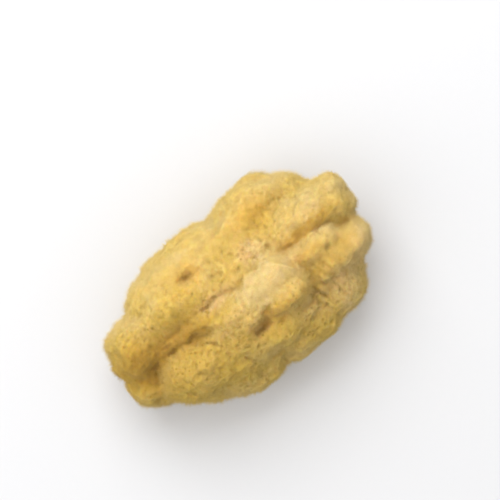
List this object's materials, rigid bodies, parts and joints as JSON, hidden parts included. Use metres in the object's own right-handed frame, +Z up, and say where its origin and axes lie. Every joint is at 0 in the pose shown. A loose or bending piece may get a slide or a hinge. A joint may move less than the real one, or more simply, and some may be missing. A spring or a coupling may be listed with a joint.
{
  "type": "sea sponge",
  "caption": "Natural yellow bath sponge: a long lobed mass with folds, water holes and a soft felted skin, trimmed flat underneath where it lies.",
  "frame": {"origin": "middle of the bounding box on the resting plane, under the sponge", "axes": "+X along the sponge, towards the end with the fingers; +Y across it; +Z up from the trimmed base"},
  "size_m": [0.145, 0.0874, 0.066],
  "materials": {
    "sponge": "matt, felted natural sponge fibre, bleached yellow, browner in the folds and water holes"
  },
  "bodies": {
    "root": {"sponge": "sponge"}
  },
  "joints": []
}
